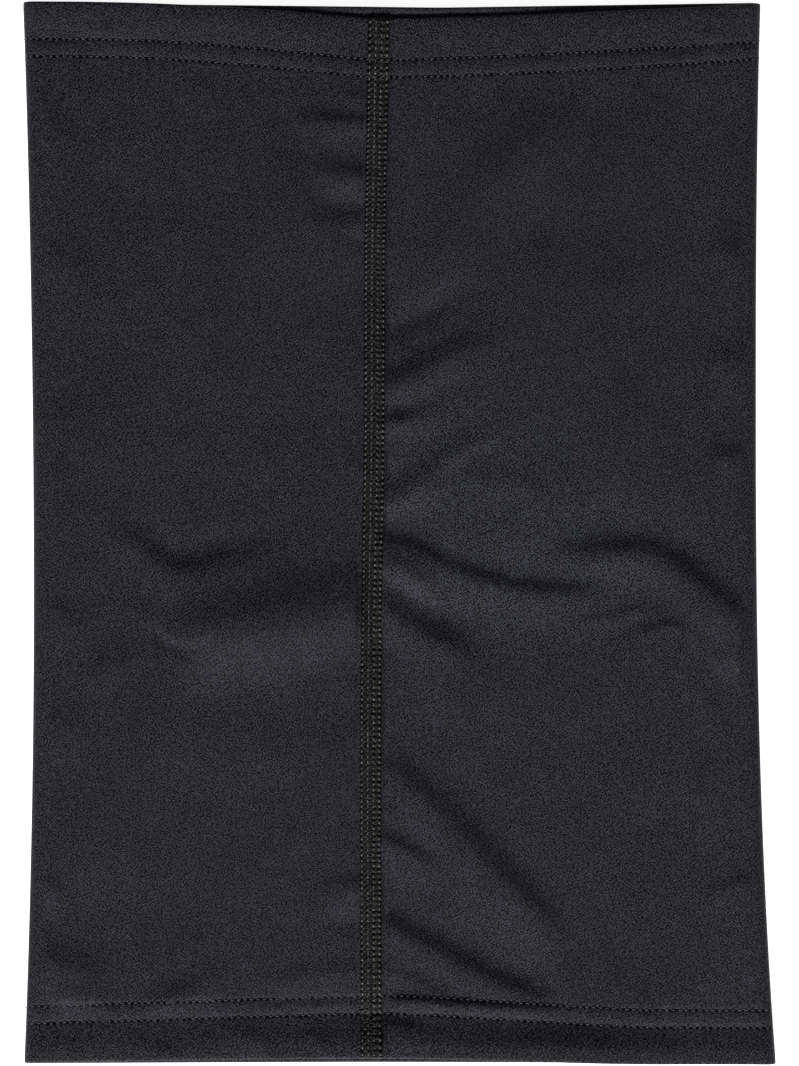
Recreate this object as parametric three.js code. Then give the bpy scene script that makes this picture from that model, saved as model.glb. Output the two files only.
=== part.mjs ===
// Neck gaiter: an open tube of thin black stretch jersey, as it lies flat on a table.
//
// One piece of cloth is wrapped into a tube. Its two cut edges butt on the front, where a
// four-needle flatlock seam joins them. The top and bottom edges are turned in and held by
// two rows of coverstitch. Each sewing thread is a plain strip along the line of its stitches.
//
// Millimetres. X runs across the tube, Y from the bottom hem to the top hem, and Z is up from
// the table. The origin is on the table, under the middle of the tube.

import * as THREE from 'three';
import { mergeVertices } from 'three/addons/utils/BufferGeometryUtils.js';

// ---- Driving dimensions ----

// the tube as it lies
const HALF_LENGTH = 171.4; // from the middle to each hem's fold, at the side folds
const HALF_WIDTH = 121.5; // at the widest: top left and bottom right corners
const LEFT_WAIST = { y: -22, x: 118.1, topFlare: 3.4, bottomFlare: 3.0, power: 2 };
const RIGHT_WAIST = { y: 43, x: 114.8, topFlare: 1.5, bottomFlare: 6.7, power: 3 };
const MOUTH = 4.3; // clear height between the two hems, so that a hand can open the tube

// the cloth
const CLOTH = 0.7; // thickness
const FOLD_GAP = 0.3; // between a hem's outer layer and its turned-in layer
const HEM_DEPTH = 19.2; // from a hem's fold to the raw edge inside

// how far the hems bow towards the middle of the tube, and how wide the bow is at each side
const FRONT_TOP_BOW = { rise: -5.2, leftReach: 80, rightReach: 130 };
const FRONT_BOTTOM_BOW = { rise: 2.0, leftReach: 110, rightReach: 100 };
const BACK_TOP_BOW = { rise: -2.0, leftReach: 115, rightReach: 115 };
const BACK_BOTTOM_BOW = { rise: 0.4, leftReach: 115, rightReach: 115 };
const BOW_START = 60; // the bow fades in from here
const BOW_FULL = 150; // and a hem bows as a whole from here out

// the sewing threads
const THREAD = 0.2; // thickness of a flattened thread
const THREAD_WIDTH = 0.5;
const CLEARANCE = 0.3; // between a thread and whatever it lies on
const HEM_ROWS = [11.9, 17.5]; // distance of the two coverstitch rows from the fold
const FLATLOCK_ROWS = [-2.8, -0.93, 0.93, 2.8]; // the four needle rows, across the seam
const FLATLOCK_WIDTH = 6.4; // of the threads that cover the seam
const SEAM_GAP = 0.3; // between the two cut edges that butt at the seam
const SEAM_LINE = { lowest: -9.4, y: -90, swing: 2.8 }; // the seam drifts right towards the top

// how finely curved stretches are cut into flat facets
const FRONT_STEPS = 5;
const BACK_STEPS = 8;
const SIDE_FOLD_STEPS = 6;
const HEM_FOLD_STEPS = 4;
const SEAM_STEPS = 16;
const BODY_LINES = [0, 50, 90, 125]; // cloth lines across the plain middle of the tube

// ---- Worked out from the driving dimensions ----

const HEM_THICKNESS = 2 * CLOTH + FOLD_GAP;
const HEIGHT = 2 * HEM_THICKNESS + MOUTH;
const SIDE_RADIUS = HEIGHT / 2;
const HEM_CENTRE = HALF_LENGTH - HEM_THICKNESS / 2; // centre line of the half round hem fold
const GROOVE_DEPTH = THREAD + CLEARANCE; // a row of stitches sinks into the cloth
const GROOVE_WIDTH = THREAD_WIDTH + 2 * CLEARANCE;
const GROOVE_SIDE = 0.15; // run of a groove's sloping side

const { lerp, clamp, smoothstep, degToRad } = THREE.MathUtils;

// ---- The lie of the tube ----

// distance of a side fold from the middle, for a waist that flares towards both ends
function sideFold(waist, y) {
  const reach = y > waist.y ? HALF_LENGTH - waist.y : HALF_LENGTH + waist.y;
  const flare = y > waist.y ? waist.topFlare : waist.bottomFlare;
  return Math.min(HALF_WIDTH, waist.x + flare * Math.abs((y - waist.y) / reach) ** waist.power);
}

// the seam's place across the tube
function seamX(y) {
  const along = (y - SEAM_LINE.y) / (HALF_LENGTH - SEAM_LINE.y);
  return SEAM_LINE.lowest + SEAM_LINE.swing * along * along;
}

// a raised cosine, 1 at the seam and 0 at the bow's two ends
function bow(shape, x, y) {
  const fromSeam = x - seamX(y);
  const reach = fromSeam < 0 ? shape.leftReach : shape.rightReach;
  const along = clamp(Math.abs(fromSeam) / reach, 0, 1);
  return shape.rise * 0.5 * (1 + Math.cos(Math.PI * along));
}

// how far a point of the front or the back moves along the tube, because its hem bows
function hemShift(isFront, x, y) {
  const top = isFront ? FRONT_TOP_BOW : BACK_TOP_BOW;
  const bottom = isFront ? FRONT_BOTTOM_BOW : BACK_BOTTOM_BOW;
  return bow(y > 0 ? top : bottom, x, y) * smoothstep(Math.abs(y), BOW_START, BOW_FULL);
}

// A place around the tube: on the front, round a side fold, or on the back. at runs from 0 to 1.
function place(region, at) {
  return { region, at };
}

// evenly spaced places through one region, without the first, which the region before it ends on
function run(region, steps) {
  return Array.from({ length: steps }, (_, i) => place(region, (i + 1) / steps));
}

// all the way round, from the seam's right edge to its left edge
function placesAround() {
  return [
    place('frontRight', 0),
    ...run('frontRight', FRONT_STEPS),
    ...run('rightFold', SIDE_FOLD_STEPS),
    ...run('back', BACK_STEPS),
    ...run('leftFold', SIDE_FOLD_STEPS),
    ...run('frontLeft', FRONT_STEPS),
  ];
}

// Where a point of the cloth lies in space. depth is measured in from the tube's outer surface.
function lay({ region, at }, y, depth) {
  const left = -sideFold(LEFT_WAIST, y) + SIDE_RADIUS;
  const right = sideFold(RIGHT_WAIST, y) - SIDE_RADIUS;
  const radius = SIDE_RADIUS - depth;
  const turn = at * Math.PI;
  let x;
  let z;
  if (region === 'frontRight') {
    x = lerp(seamX(y) + SEAM_GAP / 2, right, at);
    z = HEIGHT - depth;
  } else if (region === 'rightFold') {
    x = right + radius * Math.sin(turn);
    z = SIDE_RADIUS + radius * Math.cos(turn);
  } else if (region === 'back') {
    x = lerp(right, left, at);
    z = depth;
  } else if (region === 'leftFold') {
    x = left - radius * Math.sin(turn);
    z = SIDE_RADIUS - radius * Math.cos(turn);
  } else {
    x = lerp(left, seamX(y) - SEAM_GAP / 2, at);
    z = HEIGHT - depth;
  }
  return new THREE.Vector3(x, y + hemShift(region.startsWith('front'), x, y), z);
}

// ---- Sections along the tube ----

// A line of the cloth: its outer and inner face, each as a place along the tube and a depth.
function clothLine(outerY, outerDepth, innerY, innerDepth) {
  return { outer: [outerY, outerDepth], inner: [innerY, innerDepth] };
}

// a groove of the outer face, from its outer shoulder to its inner one
function grooveLines(centre, width, direction, faceDepth, floorDepth, innerDepth) {
  const offsets = [width / 2 + GROOVE_SIDE, width / 2, -width / 2, -width / 2 - GROOVE_SIDE];
  const depths = [faceDepth, floorDepth, floorDepth, faceDepth];
  return offsets.map((offset, i) => {
    const y = centre - direction * offset;
    return clothLine(y, depths[i], y, innerDepth);
  });
}

// from the middle of the tube out to one hem, round its fold and back in to the raw edge
function halfSection() {
  const lines = BODY_LINES.map((y) => clothLine(y, 0, y, CLOTH));
  for (const row of [...HEM_ROWS].reverse()) {
    lines.push(...grooveLines(HALF_LENGTH - row, GROOVE_WIDTH, 1, 0, GROOVE_DEPTH, CLOTH));
  }
  for (let i = 0; i <= HEM_FOLD_STEPS; i += 1) {
    const turn = degToRad((180 * i) / HEM_FOLD_STEPS);
    const centre = HEM_THICKNESS / 2;
    const reach = Math.sin(turn);
    const drop = Math.cos(turn);
    const small = FOLD_GAP / 2;
    lines.push(
      clothLine(
        HEM_CENTRE + centre * reach,
        centre - centre * drop,
        HEM_CENTRE + small * reach,
        centre - small * drop,
      ),
    );
  }
  const looperCentre = HALF_LENGTH - (HEM_ROWS[0] + HEM_ROWS[1]) / 2;
  const looperGroove = looperWidth() + 2 * CLEARANCE;
  const floor = HEM_THICKNESS - GROOVE_DEPTH;
  const inner = HEM_THICKNESS - CLOTH;
  lines.push(...grooveLines(looperCentre, looperGroove, -1, HEM_THICKNESS, floor, inner));
  const rawEdge = HALF_LENGTH - HEM_DEPTH;
  lines.push(clothLine(rawEdge, HEM_THICKNESS, rawEdge, inner));
  return lines;
}

// the looper thread of a hem spans its two needle rows, on the inside
function looperWidth() {
  return HEM_ROWS[1] - HEM_ROWS[0] - 2 * THREAD_WIDTH;
}

// the same line at the other end of the tube
function mirrored(line) {
  const [outerY, outerDepth] = line.outer;
  const [innerY, innerDepth] = line.inner;
  return clothLine(-outerY, outerDepth, -innerY, innerDepth);
}

// raw edge to raw edge
function wholeSection() {
  const half = halfSection();
  const bottom = half.slice(1).reverse().map(mirrored);
  return [...bottom, ...half];
}

// ---- Solids ----

// A closed slab of cloth or thread: a flat box whose every grid point is moved to where it lies.
// put(column, row, isOuter) gives that place.
function slab(columns, rows, put) {
  const flat = new THREE.BoxGeometry(1, 1, 1, columns - 1, rows - 1, 1);
  flat.deleteAttribute('normal');
  flat.deleteAttribute('uv');
  const solid = mergeVertices(flat);
  const position = solid.getAttribute('position');
  const point = new THREE.Vector3();
  for (let i = 0; i < position.count; i += 1) {
    point.fromBufferAttribute(position, i);
    const column = Math.round((point.x + 0.5) * (columns - 1));
    const row = Math.round((point.y + 0.5) * (rows - 1));
    const { x, y, z } = put(column, row, point.z > 0);
    position.setXYZ(i, x, y, z);
  }
  solid.computeVertexNormals();
  return solid;
}

// cloth or thread that goes all the way round the tube, with the seam's gap in it
function wrapAround(section) {
  const around = placesAround();
  return slab(around.length, section.length, (column, row, isOuter) => {
    const [y, depth] = isOuter ? section[row].outer : section[row].inner;
    return lay(around[column], y, depth);
  });
}

function fabricPanel() {
  return wrapAround(wholeSection());
}

// a thread or band of thread that runs round a hem, side = 1 at the top and -1 at the bottom
function hemBand(side, fromFold, width, outerDepth, innerDepth) {
  const centre = side * (HALF_LENGTH - fromFold);
  const low = centre - width / 2;
  const high = centre + width / 2;
  return wrapAround([
    clothLine(low, outerDepth, low, innerDepth),
    clothLine(high, outerDepth, high, innerDepth),
  ]);
}

// a needle thread of a hem lies in its groove, flush with the outer face
function hemNeedleThread(side, row) {
  return hemBand(side, HEM_ROWS[row], THREAD_WIDTH, 0, THREAD);
}

// a hem's looper thread lies in its groove on the innermost face
function hemLooperThread(side) {
  const centre = (HEM_ROWS[0] + HEM_ROWS[1]) / 2;
  return hemBand(side, centre, looperWidth(), HEM_THICKNESS - THREAD, HEM_THICKNESS);
}

// a strip along the seam on the front, between two depths
function seamStrip(offset, width, halfLength, outerDepth, innerDepth) {
  return slab(2, SEAM_STEPS + 1, (column, row, isOuter) => {
    const y = lerp(-halfLength, halfLength, row / SEAM_STEPS);
    const x = seamX(y) + offset + (column - 0.5) * width;
    return new THREE.Vector3(x, y + hemShift(true, x, y), HEIGHT - (isOuter ? outerDepth : innerDepth));
  });
}

// the cover thread lies on the cloth, and the needle threads lie on the cover thread
function flatlockCoverThread() {
  return seamStrip(0, FLATLOCK_WIDTH, HEM_CENTRE, -CLEARANCE - THREAD, -CLEARANCE);
}

function flatlockNeedleThread(row) {
  const innerDepth = -2 * CLEARANCE - THREAD;
  return seamStrip(FLATLOCK_ROWS[row], THREAD_WIDTH, HEM_CENTRE, innerDepth - THREAD, innerDepth);
}

// inside the tube, between the raw edges of the two hems
function flatlockLooperThread() {
  const halfLength = HALF_LENGTH - HEM_DEPTH - 2 * CLEARANCE;
  const outerDepth = CLOTH + CLEARANCE;
  return seamStrip(0, FLATLOCK_WIDTH, halfLength, outerDepth, outerDepth + THREAD);
}

// ---- Materials ----

const jersey = new THREE.MeshStandardMaterial({ color: 0x26252a, roughness: 0.85, metalness: 0 });
const thread = new THREE.MeshStandardMaterial({ color: 0x34342f, roughness: 0.6, metalness: 0 });

// ---- The assembly ----

const gaiter = new THREE.Group();

function add(name, geometry, material) {
  const mesh = new THREE.Mesh(geometry, material);
  mesh.name = name;
  gaiter.add(mesh);
}

add('fabric_panel', fabricPanel(), jersey);

FLATLOCK_ROWS.forEach((_, row) => {
  add(`flatlock_needle_thread_${row + 1}`, flatlockNeedleThread(row), thread);
});
add('flatlock_cover_thread', flatlockCoverThread(), thread);
add('flatlock_looper_thread', flatlockLooperThread(), thread);

for (const [hem, side] of [['top_hem', 1], ['bottom_hem', -1]]) {
  HEM_ROWS.forEach((_, row) => {
    add(`${hem}_needle_thread_${row + 1}`, hemNeedleThread(side, row), thread);
  });
  add(`${hem}_looper_thread`, hemLooperThread(side), thread);
}

export default gaiter;
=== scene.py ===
"""The looks of a neck gaiter of black stretch jersey, lying flat.

The cloth is one closed mesh, thin as real jersey. It starts at the flatlock seam's right edge,
runs round the tube to the seam's left edge, and turns in at both hems. Its folds are raised as
ridges along listed lines. Every sewing thread is a tube of its own, and the needle
threads dive through the cloth at each stitch.

Lengths are millimetres until a mesh is made. X runs across the tube, Y from the bottom hem to
the top hem, and Z is up.
"""

import math
from collections import namedtuple

import bpy
import numpy as np
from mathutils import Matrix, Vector


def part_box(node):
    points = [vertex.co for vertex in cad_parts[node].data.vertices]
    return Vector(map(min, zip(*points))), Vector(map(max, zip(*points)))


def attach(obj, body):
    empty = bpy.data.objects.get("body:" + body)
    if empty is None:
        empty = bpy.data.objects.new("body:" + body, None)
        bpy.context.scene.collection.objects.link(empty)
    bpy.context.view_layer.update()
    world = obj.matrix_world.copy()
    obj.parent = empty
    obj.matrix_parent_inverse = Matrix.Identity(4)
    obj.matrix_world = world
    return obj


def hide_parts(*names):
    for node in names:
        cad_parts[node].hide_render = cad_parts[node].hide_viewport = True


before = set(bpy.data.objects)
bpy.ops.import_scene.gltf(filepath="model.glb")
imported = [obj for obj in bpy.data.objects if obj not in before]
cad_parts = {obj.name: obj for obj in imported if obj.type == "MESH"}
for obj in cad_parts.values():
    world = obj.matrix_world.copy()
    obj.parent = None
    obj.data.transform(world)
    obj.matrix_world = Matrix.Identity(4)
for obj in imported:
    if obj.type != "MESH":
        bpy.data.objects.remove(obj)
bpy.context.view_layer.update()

MM = 0.001

# ---------------------------------------------------------------- sizes, from the frame

PANEL_LOW, PANEL_HIGH = [np.array(corner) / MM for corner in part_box("fabric_panel")]
HALF_LENGTH = (PANEL_HIGH[1] - PANEL_LOW[1]) / 2
HALF_WIDTH = (PANEL_HIGH[0] - PANEL_LOW[0]) / 2

# ---------------------------------------------------------------- sizes, given

# the side folds, as a waist that flares towards both ends
Waist = namedtuple("Waist", "y x top_flare bottom_flare power")
LEFT_WAIST = Waist(-22, 118.1, 3.4, 3.0, 2)
RIGHT_WAIST = Waist(43, 115.1, 1.4, 6.4, 2.5)
SIDE_RADIUS = 3.2  # how far a side fold's round stands out

# How far the hems bow along Y, at the hem's edge and at its rows of stitches. middle says how far
# right of the seam a bow is deepest. To either side of that it fades out over a reach, as
# (1 - share ** round) ** tail of its depth, where share is of the reach.
Bow = namedtuple("Bow", "edge rows middle left right")
Fade = namedtuple("Fade", "reach round tail")
FRONT_TOP_BOW = Bow(-5.2, -6.8, 0, Fade(95, 1, 1.75), Fade(133, 1.35, 1))
FRONT_BOTTOM_BOW = Bow(2.0, 4.6, 5, Fade(155, 1, 1), Fade(85, 1.3, 1.5))
BACK_TOP_BOW = Bow(-1.8, -1.8, 19, Fade(127, 1, 1), Fade(103, 1, 1))
BACK_BOTTOM_BOW = Bow(0.4, 0.4, 0, Fade(115, 1.5, 1.5), Fade(115, 1.5, 1.5))
BOW_TIP = 4  # how round the deepest place is
BOW_START, BOW_FULL = 60, 150  # from the tube's middle: where the bow begins, and is whole

# the cloth and its hems
CLOTH = 0.55  # thickness
TURN_RADIUS = 0.37  # of the cloth's middle round a hem's edge
HEM_DEPTH = 19.2  # from a hem's edge to the raw edge inside
HEM_ROWS = (11.9, 17.5)  # the two rows of stitches, from the hem's edge
HEM_STITCH = 2.05
GROOVE_DEPTH, GROOVE_WIDTH = 0.13, 0.7  # of the groove that a row of stitches draws
HEM_BULGE, HEM_BULGE_WIDTH = 0.20, 2.0  # of the cloth between the two rows

# the seam: its middle is furthest left at SEAM_LOWEST_Y and swings right towards the top
SEAM_LOWEST_X, SEAM_LOWEST_Y, SEAM_SWING = -9.35, -90, 2.8
SEAM_BULGE, SEAM_BULGE_Y, SEAM_BULGE_REACH = 0.65, 28, 45  # where the folds draw it aside
SEAM_GAP = 0.16  # between the two cut edges
SEAM_ROWS = (-2.8, -0.93, 0.93, 2.8)
SEAM_STITCH = 1.88
SEAM_HALF_WIDTH = 3.4
SEAM_RAISE, SEAM_FLANK = 0.5, 0.9  # it stands over the cloth, and slopes off to it
PINCH_DEPTH, PINCH_AT, PINCH_WIDTH = 0.16, 1.2, 0.9  # of the hollow beside the seam's flank

# heights of the front layer's top face over the table
SIDE_HEIGHT, MIDDLE_HEIGHT = 5.6, 4.2
SIDE_SLOPE_WIDTH = 16
TOP_LIFT, BOTTOM_LIFT = 1.1, 1.3  # a hem's edge stands higher than its stitches
LIFT_START, LIFT_LENGTH = 1, 10  # the lift starts just inside the outer row of stitches
TOP_MIDDLE = 10  # x where the top hem's front edge stands lowest, and its back edge highest
TOP_DROP, TOP_DROP_WIDTH = 0.55, 45  # the share of its lift that the top hem loses there
BOTTOM_SLACK, SLACK_X, SLACK_WIDTH = 2.2, 30, 50  # the bottom hem stands highest at SLACK_X

# heights of the back layer's outer face
BACK_REST = 0.1
BACK_GROOVE = 0.6  # the depth of its stitch grooves, as a share of the front's
BACK_CURL, BACK_CURL_LENGTH = 1.9, 20  # of the top hem
EDGE_CURL, EDGE_CURL_LENGTH = 1.2, 3.4  # of the strip that shows beyond the front's edge
CURL_WIDTH = 70  # how far along X both of them reach

# spacing of the cloth's grid
PLAIN_STEP, FINE_STEP, BACK_STEP = 1.1, 0.5, 4.0
FINE_BY_SEAM, FINE_BY_ROW = 3, 2  # how far out from the seam and a row of stitches it is fine
SIDE_STEPS, HEM_TURN_STEPS = 8, 6

# ---------------------------------------------------------------- folds

# A fold runs along line, from left to right. On the line the cloth falls away towards the top
# hem with the slope steep, over about near on each side. Below the line lies the ridge, whose
# gentle side is about lower long. Above the line the cloth may dip under its plain height, by dip
# times the ridge's height, and it comes back over about upper. A negative steep turns the fold
# upside down. fade_in and fade_out are the shares of the line over which it grows and dies away.
Fold = namedtuple("Fold", "line steep near lower fade_in fade_out dip upper", defaults=(0, 6))

FOLDS = [
    # the fan that leaves the seam to the right
    Fold([(2, 84), (14, 104), (28, 122), (44, 133), (66, 144)], 0.11, 9, 14, 0.3, 0.3),
    Fold([(-9, 66), (-1, 71), (9, 76), (21, 82), (34, 89)], -0.20, 5, 5, 0.05, 0.6),
    Fold([(-9, 50), (-2, 51), (4, 53.5), (11, 57.5), (20, 61.5), (30, 63), (42, 66)],
         0.30, 4.5, 7, 0.05, 0.6, 0.4, 6),
    Fold([(-9, 41), (-2, 43), (8, 47), (20, 51), (34, 55)], -0.12, 4, 4, 0.05, 0.7),
    Fold([(-9, 37), (-2, 37.5), (4, 38.5), (14, 41)], 0.36, 2.8, 4, 0.05, 0.7),
    Fold([(-9, 13), (-2, 14.5), (4, 17.5), (12, 23.5), (22, 31), (36, 37)],
         0.32, 5.2, 5, 0.05, 0.7, 0.4, 6),
    Fold([(4, 15), (14, 21), (24, 26), (38, 30)], -0.16, 2.6, 3, 0.4, 0.6),
    Fold([(18, 18), (30, 18.5), (40, 17.5), (54, 14)], 0.13, 3, 7, 0.4, 0.4),
    Fold([(58, 3), (66, 12), (74, 18)], -0.07, 4, 4, 0.4, 0.4),
    # the deep fold that leaves the seam lower down
    Fold([(-9, -1), (-3, -1.5), (4, -3.5), (12, -7.5), (20, -11), (29, -14), (39, -16.3),
          (50, -17.2), (62, -17.3), (76, -17)], 0.46, 3.6, 8.5, 0.03, 0.32, 1, 11),
    Fold([(-9, -7.5), (-3, -8.5), (4, -11), (10, -13.5), (16, -16)], 0.36, 4.5, 9, 0.05, 0.5),
    Fold([(-9, -12), (-3, -14.5), (3, -18.5), (12, -22)], -0.10, 1.6, 3, 0.1, 0.4),
    Fold([(-9, -19), (-2, -22), (4, -26.5), (12, -31), (20, -34.5), (30, -41)],
         0.42, 5.6, 8, 0.05, 0.5, 0.3, 5),
    Fold([(4, -40), (16, -48), (28, -60)], 0.09, 4, 5, 0.4, 0.4),
    # the fold that crosses to the right side
    Fold([(38, -7), (54, -5), (66, -4), (76, -3.5), (86, -6), (93, -10.5), (100, -16.5),
          (106, -21), (114, -27)], 0.38, 4.6, 9, 0.45, 0.03, 0.3, 8),
    Fold([(52, -28.5), (62, -27), (72, -25), (82, -22)], 0.22, 1.6, 3, 0.5, 0.2),
    Fold([(76, -32.5), (82, -30), (88, -29), (93, -30.5), (98, -35.5), (104, -43)],
         0.38, 1.1, 2.5, 0.1, 0.6),
    Fold([(92, -43), (98, -50), (107, -61)], 0.14, 2.2, 5, 0.3, 0.3),
    Fold([(97, 27.5), (106, 26.5), (120, 27)], 0.30, 3.2, 11, 0.4, 0.03),
    Fold([(96, 56), (116, 57)], 0.10, 4.5, 8, 0.4, 0.1),
    Fold([(96, 37), (104, 43), (112, 52)], -0.05, 3, 4, 0.4, 0.4),
    Fold([(100, -39), (116, -36)], 0.14, 3, 5, 0.4, 0.1),
    Fold([(98, 94), (116, 92)], 0.14, 4, 7, 0.4, 0.1),
    # the long diagonals at the lower right
    Fold([(-9, -73), (0, -76.5), (10, -83.5), (20, -93.5), (31, -105), (42, -115.5), (53, -126),
          (62, -138)], 0.30, 5.5, 11, 0.2, 0.25, 0.3, 9),
    Fold([(-9, -97), (-2, -98.5), (7, -103), (17, -107.5)], 0.34, 3.2, 7, 0.2, 0.5),
    Fold([(-9, -124), (-3, -125), (8, -130), (22, -138), (38, -145.5), (54, -150)],
         0.40, 4, 9, 0.15, 0.25, 0.2, 6),
    Fold([(-9, -139), (0, -141.5), (11, -146), (24, -149)], 0.26, 3, 10, 0.05, 0.4),
    Fold([(96, -115), (107, -112), (120, -109)], 0.18, 3.6, 6, 0.4, 0.05),
    # puckers to the left of the seam
    Fold([(-24, 142.5), (-14, 142), (-7, 142)], 0.22, 1.8, 3, 0.6, 0.05),
    Fold([(-38, 135.5), (-24, 134.5), (-7, 134)], 0.30, 2.8, 6, 0.5, 0.05),
    Fold([(-32, 121), (-20, 118.5), (-7, 117)], 0.22, 3.8, 5, 0.5, 0.05),
    Fold([(-28, 109), (-7, 107)], -0.24, 2.6, 4, 0.5, 0.05),
    Fold([(-38, 103), (-24, 102), (-7, 102)], 0.07, 2.4, 4, 0.5, 0.05),
    Fold([(-20, 97), (-7, 96)], -0.16, 2.2, 3, 0.5, 0.05),
    Fold([(-30, -113), (-20, -112.5), (-7, -111)], 0.22, 2.8, 7, 0.5, 0.05),
    Fold([(-30, -124), (-7, -123)], -0.10, 3, 4, 0.5, 0.05),
    Fold([(-50, -144.5), (-34, -141.5), (-19, -139.5), (-7, -140)], 0.20, 3.6, 12, 0.4, 0.05),
    # the slack hollow on the left, and the ridge that closes it below
    Fold([(-100, 3), (-94, 3), (-87, 0.5), (-81, -4), (-74, -9), (-67, -9.5), (-60, -7.5),
          (-52, -6), (-42, -4), (-32, -2)], 0.30, 4.5, 8, 0.35, 0.5, 0.3, 6),
    Fold([(-80, -24), (-62, -22.5), (-45, -21), (-28, -18), (-7, -14)], 0.22, 13, 12, 0.25, 0.1),
    Fold([(-80, -29), (-77, -32.5), (-73.5, -34.8), (-68, -35.5), (-62, -35), (-56, -32.5)],
         -0.6, 1.3, 5, 0.1, 0.7),
    Fold([(-92, -20), (-84, -22.5), (-74, -26)], 0.10, 4, 5, 0.4, 0.4),
    Fold([(-120, -21), (-108, -24), (-96, -27)], 0.11, 5.5, 7, 0.05, 0.5),
    Fold([(-104, -46), (-96, -42), (-86, -36)], 0.15, 4.5, 7, 0.4, 0.4),
    Fold([(-120, -58), (-106, -58), (-94, -54)], 0.08, 8, 9, 0.05, 0.4),
    # the lower left
    Fold([(-74, -90), (-54, -86)], 0.07, 5, 8, 0.4, 0.4),
    Fold([(-42, -96), (-24, -90)], 0.09, 5, 8, 0.4, 0.4),
    Fold([(-120, -109), (-112, -112), (-103, -118)], 0.20, 3.6, 7, 0.05, 0.6),
    Fold([(-120, -132), (-106, -136), (-90, -141)], 0.20, 7, 9, 0.05, 0.5),
    Fold([(-116, -146), (-102, -148), (-90, -148)], 0.16, 4, 5, 0.3, 0.5),
    Fold([(-86, -150), (-74, -148), (-63, -143), (-52, -138)], 0.20, 4.5, 8, 0.3, 0.4),
    # the upper left
    Fold([(-76, 147), (-65, 146), (-54, 141)], 0.08, 4, 7, 0.4, 0.4),
    Fold([(-120, 138), (-104, 130)], 0.08, 6, 9, 0.05, 0.5),
    Fold([(-120, 118), (-110, 119), (-98, 116)], 0.08, 6, 8, 0.05, 0.5),
    Fold([(-120, 92), (-108, 92), (-96, 88)], 0.08, 7, 8, 0.05, 0.5),
    Fold([(-120, 20), (-104, 21)], 0.08, 6, 8, 0.05, 0.5),
    Fold([(-72, 20), (-64, 22), (-54, 20)], -0.05, 4, 5, 0.4, 0.4),
]

# slack places in the hems themselves
HEM_FOLDS = [
    Fold([(-106, 164.5), (-94, 164), (-82, 163)], 0.16, 2.4, 4, 0.4, 0.4),
    Fold([(86, 161.5), (102, 162), (118, 162)], 0.16, 2.4, 4, 0.4, 0.2),
    Fold([(-86, -166.5), (-76, -166), (-66, -167)], 0.20, 2, 4, 0.4, 0.4),
    Fold([(-60, -158), (-48, -160.5), (-38, -165)], 0.12, 2.4, 4, 0.4, 0.4),
    Fold([(-36, -159), (-26, -162), (-17, -167)], 0.12, 2.4, 4, 0.4, 0.4),
    Fold([(-50, -152.5), (-30, -152), (-12, -151)], 0.25, 1.2, 6, 0.3, 0.1),
    Fold([(-6, -149.5), (6, -150), (24, -151.5), (40, -152.5), (60, -153)], 0.65, 2.2, 8, 0.1, 0.4),
    Fold([(-5, -157), (3, -158.5), (9, -160.5)], 0.40, 1.8, 4, 0.1, 0.5),
]

# how strongly the folds show: not at all on the side folds, and weakly in the hems and under
# the seam. A share is what is left there, and a fade is how far out it takes to be whole again.
SIDE_FADE = 4
HEM_SHARE, HEM_FADE = 0.15, 8
SEAM_SHARE, SEAM_FADE_START, SEAM_FADE = 0.25, 1.5, 4

# the flat round thing that lay under the cloth and left its mark
DISC_X, DISC_Y, DISC_RADIUS, DISC_HEIGHT = -65.5, -21.6, 9.7, 0.12
DISC_RIM = 3  # width of the slope round it

# short shallow folds along the seam
SEAM_PUCKERS = 44
SEAM_PUCKER_END = 150  # the last pucker's distance from the tube's middle
SEAM_PUCKER_START = 0.6  # distance from the seam
SEAM_PUCKER_LOWER = 3.5  # length of the gentle side
SEAM_PUCKER_SEED = 7

# broad waves all over the cloth
RIPPLE_LENGTHS = np.geomspace(14, 90, 16)
RIPPLE_STEEPNESS = 0.0018  # a wave's height over its length
RIPPLE_SEED = 3


def smooth(t):
    """0 below 0, 1 above 1, and a smooth step between."""
    t = np.clip(t, 0, 1)
    return t * t * (3 - 2 * t)


def bell(distance, width):
    """1 at distance 0, falling away on both sides."""
    return np.exp(-((distance / width) ** 2))


# ---------------------------------------------------------------- the lie of the tube


def side_fold(waist, y):
    """Distance of a side fold from the middle of the tube, at y."""
    above = y > waist.y
    reach = np.where(above, HALF_LENGTH - waist.y, HALF_LENGTH + waist.y)
    flare = np.where(above, waist.top_flare, waist.bottom_flare)
    return np.minimum(HALF_WIDTH, waist.x + flare * np.abs((y - waist.y) / reach) ** waist.power)


def seam_x(y):
    """The x of the seam's middle, at y."""
    along = (y - SEAM_LOWEST_Y) / (HALF_LENGTH - SEAM_LOWEST_Y)
    bulge = SEAM_BULGE * bell(y - SEAM_BULGE_Y, SEAM_BULGE_REACH)
    return SEAM_LOWEST_X + SEAM_SWING * along**2 + bulge


def bow_share(distance, fade):
    """The share of a bow's depth that is left at a distance from its deepest place."""
    rounded = np.hypot(distance, BOW_TIP) - BOW_TIP
    share = np.clip(rounded / fade.reach, 0, 1)
    return (1 - share**fade.round) ** fade.tail


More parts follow.
